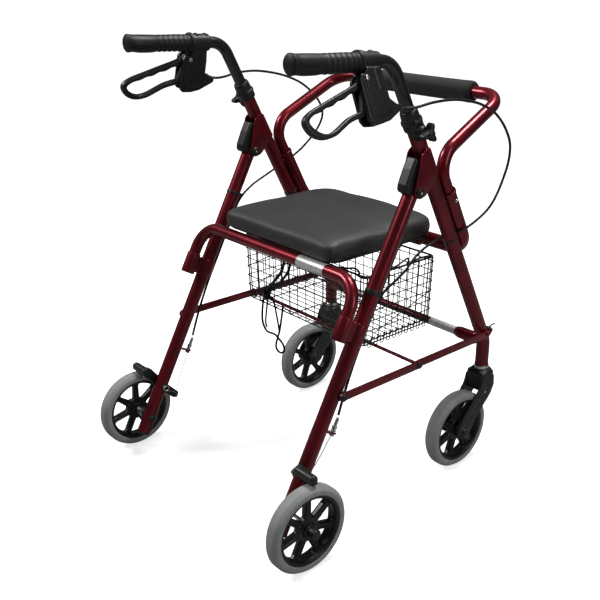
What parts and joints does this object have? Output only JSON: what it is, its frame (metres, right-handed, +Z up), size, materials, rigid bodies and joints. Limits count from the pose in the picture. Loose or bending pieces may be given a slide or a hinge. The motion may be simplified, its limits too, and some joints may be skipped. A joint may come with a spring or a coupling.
{
  "type": "rollator walker",
  "caption": "Folding four-wheeled walking aid with telescoping handles, loop brakes, flip-up padded seat, foam backrest and wire basket.",
  "frame": {"origin": "on the ground under the middle of the walker's outline", "axes": "+Z up, +Y the direction of travel (user pushes from the -Y side), +X the user's right"},
  "size_m": [0.562, 0.5971, 0.7988],
  "materials": {
    "frame_paint": "deep red gloss metallic lacquer on steel tube",
    "handle_paint": "gloss black paint on the telescoping handle tubes",
    "black_plastic": "moulded black nylon, satin with a fine grain",
    "wheel_plastic": "moulded black wheel centres, slightly glossy",
    "bright_zinc": "bright zinc plating on bolts, pins and bearings",
    "grey_tyre": "light grey solid rubber tyre, dull",
    "grip_rubber": "soft black moulded rubber",
    "cable_sheath": "black cable outer sheath",
    "backrest_foam": "closed-cell black foam with a dull skin",
    "seat_vinyl": "charcoal upholstery vinyl with a fine grain",
    "black_wire": "black coated steel wire",
    "strap_webbing": "woven black webbing"
  },
  "bodies": {
    "front_frame": {"front_leg_right": "frame_paint", "front_leg_left": "frame_paint", "handle_collar_right": "black_plastic", "handle_collar_left": "black_plastic", "fold_bracket_right": "frame_paint", "fold_bracket_left": "frame_paint", "fold_pin_right": "bright_zinc", "fold_pin_left": "bright_zinc", "caster_bearing_right": "bright_zinc", "caster_bearing_left": "bright_zinc", "seat_front_bar": "frame_paint", "backrest_tube": "frame_paint", "backrest_foam": "backrest_foam", "front_cross_tube": "frame_paint"},
    "rear_frame": {"rear_leg_right": "frame_paint", "rear_leg_left": "frame_paint", "hinge_cap_right": "black_plastic", "hinge_cap_left": "black_plastic", "seat_bar_bracket_right": "frame_paint", "seat_bar_bracket_left": "frame_paint", "brake_cable_right": "cable_sheath", "brake_cable_left": "cable_sheath", "rear_axle_right": "bright_zinc", "rear_axle_left": "bright_zinc", "rear_seat_bar": "frame_paint", "pull_strap": "strap_webbing"},
    "seat": {"seat_pad": "seat_vinyl", "seat_board": "black_plastic"},
    "basket": {"basket": "black_wire"},
    "front_links": {"front_link_right": "frame_paint", "front_link_left": "frame_paint", "link_rod": "frame_paint"},
    "rear_links": {"rear_link_right": "frame_paint", "rear_link_left": "frame_paint"},
    "handle_right": {"handle_tube_right": "handle_paint", "hand_grip_right": "grip_rubber", "brake_housing_right": "black_plastic"},
    "height_knob_right": {"height_knob_right": "black_plastic"},
    "brake_lever_right": {"brake_lever_right": "black_plastic"},
    "brake_arm_right": {"brake_arm_right": "black_plastic"},
    "front_fork_right": {"front_fork_right": "black_plastic", "front_axle_right": "bright_zinc"},
    "front_wheel_right": {"front_tyre_right": "grey_tyre", "front_rim_right": "wheel_plastic"},
    "rear_wheel_right": {"rear_tyre_right": "grey_tyre", "rear_rim_right": "wheel_plastic"},
    "backrest_button_right": {"backrest_button_right": "bright_zinc"},
    "handle_left": {"handle_tube_left": "handle_paint", "hand_grip_left": "grip_rubber", "brake_housing_left": "black_plastic"},
    "height_knob_left": {"height_knob_left": "black_plastic"},
    "brake_lever_left": {"brake_lever_left": "black_plastic"},
    "brake_arm_left": {"brake_arm_left": "black_plastic"},
    "front_fork_left": {"front_fork_left": "black_plastic", "front_axle_left": "bright_zinc"},
    "front_wheel_left": {"front_tyre_left": "grey_tyre", "front_rim_left": "wheel_plastic"},
    "rear_wheel_left": {"rear_tyre_left": "grey_tyre", "rear_rim_left": "wheel_plastic"},
    "backrest_button_left": {"backrest_button_left": "bright_zinc"}
  },
  "joints": [
    {"name": "fold", "type": "hinge", "parent": "front_frame", "child": "rear_frame", "pos_m": [0, 0.0494, 0.567], "axis": [1, 0, 0], "range_deg": [0, 32]},
    {"name": "front_links_turn", "type": "hinge", "parent": "front_frame", "child": "front_links", "pos_m": [0, 0.255, 0.262], "axis": [1, 0, 0], "range_deg": [-43, 0]},
    {"name": "rear_links_turn", "type": "hinge", "parent": "front_links", "child": "rear_links", "pos_m": [0, 0.062, 0.261], "axis": [1, 0, 0], "range_deg": [0, 119.4]},
    {"name": "basket_draw", "type": "slide", "parent": "front_frame", "child": "basket", "axis": [0, 1, 0], "range_m": [0, 0.5]},
    {"name": "seat_flip", "type": "hinge", "parent": "front_frame", "child": "seat", "pos_m": [0, 0.19508, 0.436], "axis": [-1, 0, 0], "range_deg": [0, 90]},
    {"name": "handle_height_right", "type": "slide", "parent": "front_frame", "child": "handle_right", "axis": [0, -0.454, 0.891], "range_m": [-0.025, 0.1]},
    {"name": "height_knob_turn_right", "type": "hinge", "parent": "front_frame", "child": "height_knob_right", "pos_m": [0.216, 0.05002, 0.663], "axis": [1, 0, 0], "continuous": true},
    {"name": "brake_lever_squeeze_right", "type": "hinge", "parent": "handle_right", "child": "brake_lever_right", "pos_m": [0.22532, -0.07744, 0.75222], "axis": [-0.9336, -0.0188, -0.3579], "range_deg": [0, 18]},
    {"name": "brake_arm_press_right", "type": "hinge", "parent": "rear_frame", "child": "brake_arm_right", "pos_m": [0.216, -0.18959, 0.134], "axis": [1, 0, 0], "range_deg": [0, 7]},
    {"name": "front_fork_swivel_right", "type": "hinge", "parent": "front_frame", "child": "front_fork_right", "pos_m": [0.216, 0.263, 0.19], "axis": [0, 0, 1], "continuous": true},
    {"name": "front_wheel_spin_right", "type": "hinge", "parent": "front_fork_right", "child": "front_wheel_right", "pos_m": [0.216, 0.196, 0.076], "axis": [1, 0, 0], "continuous": true},
    {"name": "rear_wheel_spin_right", "type": "hinge", "parent": "rear_frame", "child": "rear_wheel_right", "pos_m": [0.265, -0.2225, 0.076], "axis": [1, 0, 0], "continuous": true},
    {"name": "backrest_button_press_right", "type": "slide", "parent": "front_frame", "child": "backrest_button_right", "axis": [-1, 0, 0], "range_m": [0, 0.003]},
    {"name": "handle_height_left", "type": "slide", "parent": "front_frame", "child": "handle_left", "axis": [0, -0.454, 0.891], "range_m": [-0.025, 0.1]},
    {"name": "height_knob_turn_left", "type": "hinge", "parent": "front_frame", "child": "height_knob_left", "pos_m": [-0.216, 0.05002, 0.663], "axis": [1, 0, 0], "continuous": true},
    {"name": "brake_lever_squeeze_left", "type": "hinge", "parent": "handle_left", "child": "brake_lever_left", "pos_m": [-0.22532, -0.07744, 0.75222], "axis": [-0.9336, 0.0188, 0.3579], "range_deg": [0, 18]},
    {"name": "brake_arm_press_left", "type": "hinge", "parent": "rear_frame", "child": "brake_arm_left", "pos_m": [-0.216, -0.18959, 0.134], "axis": [1, 0, 0], "range_deg": [0, 7]},
    {"name": "front_fork_swivel_left", "type": "hinge", "parent": "front_frame", "child": "front_fork_left", "pos_m": [-0.216, 0.263, 0.19], "axis": [0, 0, 1], "continuous": true},
    {"name": "front_wheel_spin_left", "type": "hinge", "parent": "front_fork_left", "child": "front_wheel_left", "pos_m": [-0.216, 0.196, 0.076], "axis": [1, 0, 0], "continuous": true},
    {"name": "rear_wheel_spin_left", "type": "hinge", "parent": "rear_frame", "child": "rear_wheel_left", "pos_m": [-0.265, -0.2225, 0.076], "axis": [1, 0, 0], "continuous": true},
    {"name": "backrest_button_press_left", "type": "slide", "parent": "front_frame", "child": "backrest_button_left", "axis": [1, 0, 0], "range_m": [0, 0.003]}
  ],
  "couplings": [
    {"joint": "front_links_turn", "follows": "fold", "ratio": -1.3433},
    {"joint": "rear_links_turn", "follows": "fold", "ratio": 3.7309},
    {"joint": "basket_draw", "follows": "fold", "m_per_rad": 0.89525},
    {"joint": "brake_arm_press_right", "follows": "brake_lever_squeeze_right", "ratio": 0.38889},
    {"joint": "brake_arm_press_left", "follows": "brake_lever_squeeze_left", "ratio": 0.38889}
  ]
}
